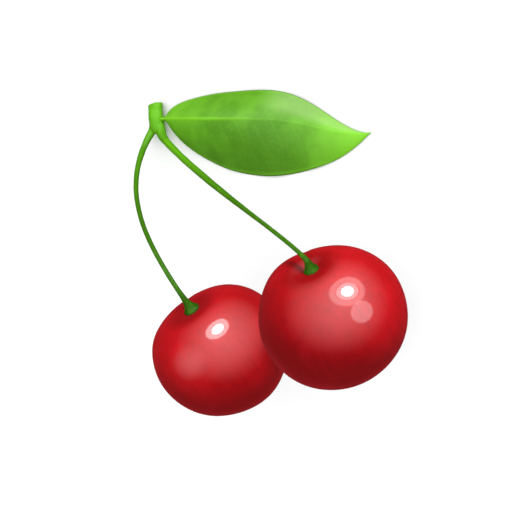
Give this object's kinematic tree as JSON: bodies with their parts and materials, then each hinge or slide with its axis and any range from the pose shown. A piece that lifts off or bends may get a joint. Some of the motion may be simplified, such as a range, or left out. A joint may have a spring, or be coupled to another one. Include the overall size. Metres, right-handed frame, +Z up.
{
  "type": "cherries on stalks",
  "caption": "Glossy red sweet cherries on long green stalks that join at a short leafy spur, lying on a surface as picked.",
  "frame": {"origin": "middle of the whole piece's underside, on the surface that it lies on", "axes": "+Z up from the surface; +X along the leaf from its base to its tip; +Y from the fruits towards the spur and the leaf"},
  "size_m": [0.059, 0.0564, 0.024],
  "materials": {
    "cherry_skin": "wet-looking glossy deep red fruit skin, darker round the stalk",
    "stalk": "satin green stalk, darker at the fruit and paler at the spur",
    "spur": "satin yellow-green stem with a cut end",
    "leaf": "smooth satin green leaf with a paler midrib and tip"
  },
  "bodies": {
    "root": {"left_cherry": "cherry_skin", "right_cherry": "cherry_skin", "left_stalk": "stalk", "right_stalk": "stalk", "spur": "spur", "leaf": "leaf"}
  },
  "joints": []
}
